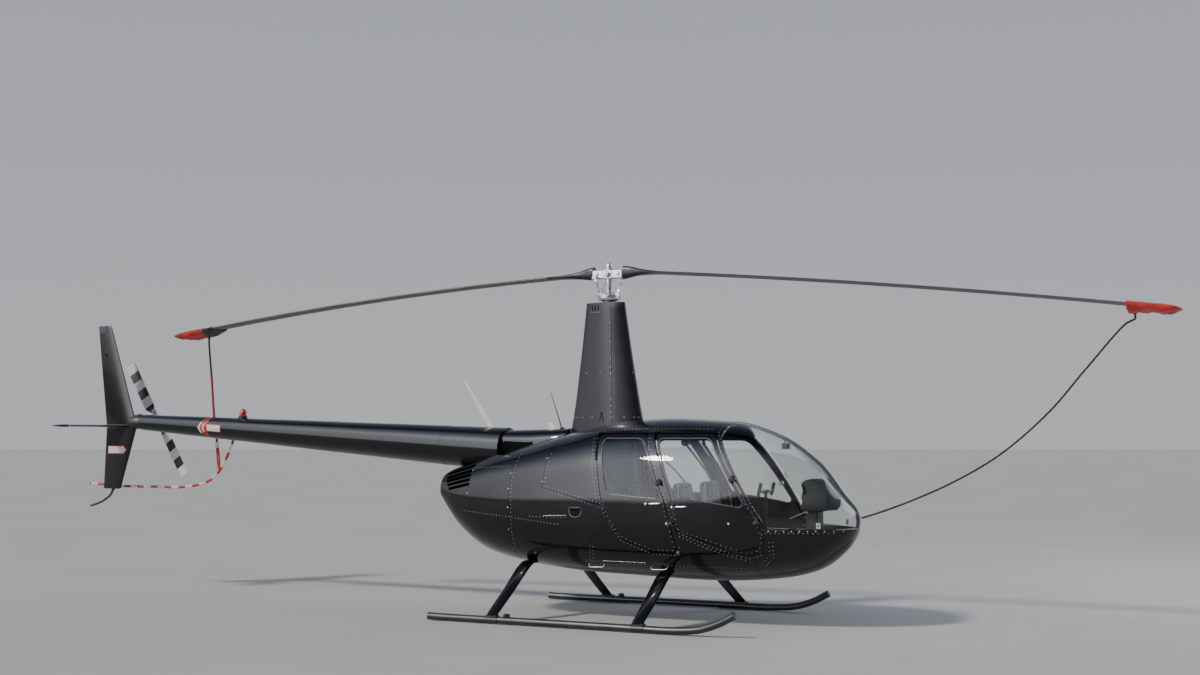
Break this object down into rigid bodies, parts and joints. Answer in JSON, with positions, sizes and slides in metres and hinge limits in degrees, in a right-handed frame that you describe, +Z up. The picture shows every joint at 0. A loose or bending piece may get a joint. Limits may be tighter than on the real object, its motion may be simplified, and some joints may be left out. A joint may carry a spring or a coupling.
{
  "type": "light helicopter",
  "caption": "Parked light helicopter with a glazed cabin and hinged doors, skid landing gear, two-blade teetering main rotor tied down, tail cone and tail rotor.",
  "frame": {"origin": "middle of the whole outline, on the ground under the skids", "axes": "+X towards the nose, +Y to port, +Z up"},
  "size_m": [11.7278, 2.244, 3.26],
  "materials": {
    "gloss_black": "deep gloss black enamel over riveted sheet",
    "charcoal": "semi-gloss charcoal enamel",
    "blade_dark": "dark satin paint, worn along the leading edge",
    "bare_alloy": "bare machined alloy",
    "cover_red": "red woven cloth",
    "cord_black": "black braided cord",
    "skid_black": "black paint, scuffed",
    "antenna_white": "gloss white shell",
    "guard_paint": "red and white banded paint",
    "lens_red": "red moulded lens",
    "glass": "clear moulded acrylic",
    "seat_grey": "grey leather",
    "trim_dark": "dark moulded trim",
    "engine_grey": "plain grey casting"
  },
  "bodies": {
    "root": {"windshield_frame": "gloss_black", "nose_bowl": "gloss_black", "cabin_tub": "gloss_black", "cabin_roof": "gloss_black", "door_post_left": "gloss_black", "door_post_right": "gloss_black", "middle_fuselage": "gloss_black", "aft_cowl": "gloss_black", "windshield_left": "glass", "windshield_right": "glass", "rear_bulkhead": "trim_dark", "cabin_floor": "trim_dark", "engine_block": "engine_grey", "cooling_fan": "bare_alloy", "seat_base_front": "seat_grey", "seat_front_left": "seat_grey", "seat_front_right": "seat_grey", "seat_base_rear": "seat_grey", "seat_rear_left": "seat_grey", "seat_rear_right": "seat_grey", "instrument_console": "trim_dark", "cyclic_stick": "trim_dark", "mast_fairing": "charcoal", "dorsal_fairing": "gloss_black", "tail_cone": "gloss_black", "tail_gearbox": "bare_alloy", "upper_fin": "gloss_black", "lower_fin": "gloss_black", "stabilizer": "gloss_black", "tail_skid": "skid_black", "tail_guard": "guard_paint", "skid_left": "skid_black", "skid_right": "skid_black", "front_gear_bow": "gloss_black", "rear_gear_bow": "gloss_black", "beacon": "lens_red", "tall_antenna": "antenna_white", "thin_antenna": "skid_black", "fin_antenna": "antenna_white", "landing_lights": "glass", "rear_tie_strap": "cover_red", "front_tie_cord": "cord_black"},
    "door_front_left": {"door_front_left": "gloss_black", "glass_front_left": "glass"},
    "door_front_right": {"door_front_right": "gloss_black", "glass_front_right": "glass"},
    "door_rear_left": {"door_rear_left": "gloss_black", "glass_rear_left": "glass"},
    "door_rear_right": {"door_rear_right": "gloss_black", "glass_rear_right": "glass"},
    "main_rotor": {"rotor_mast": "bare_alloy", "rotor_hub": "bare_alloy", "blade_fore": "blade_dark", "blade_aft": "blade_dark", "cover_fore": "cover_red", "cover_aft": "cover_red"},
    "tail_rotor": {"tail_rotor_hub": "bare_alloy", "tail_blade_upper": "antenna_white", "tail_blade_lower": "antenna_white"}
  },
  "joints": [
    {"name": "door_front_left_swing", "type": "hinge", "parent": "root", "child": "door_front_left", "pos_m": [2.298, 0.606, 1.29], "axis": [0.5319, 0, -0.8468], "range_deg": [0, 75]},
    {"name": "door_front_right_swing", "type": "hinge", "parent": "root", "child": "door_front_right", "pos_m": [2.298, -0.606, 1.29], "axis": [-0.5319, 0, 0.8468], "range_deg": [0, 75]},
    {"name": "door_rear_left_swing", "type": "hinge", "parent": "root", "child": "door_rear_left", "pos_m": [1.624, 0.654, 1.25], "axis": [0.3236, 0, -0.9462], "range_deg": [0, 75]},
    {"name": "door_rear_right_swing", "type": "hinge", "parent": "root", "child": "door_rear_right", "pos_m": [1.624, -0.654, 1.25], "axis": [-0.3236, 0, 0.9462], "range_deg": [0, 75]},
    {"name": "main_rotor_spin", "type": "hinge", "parent": "root", "child": "main_rotor", "pos_m": [0.79, 0, 3.165], "axis": [0, 0, 1], "continuous": true},
    {"name": "tail_rotor_spin", "type": "hinge", "parent": "root", "child": "tail_rotor", "pos_m": [-5.069, 0.345, 1.833], "axis": [0, 1, 0], "continuous": true}
  ]
}
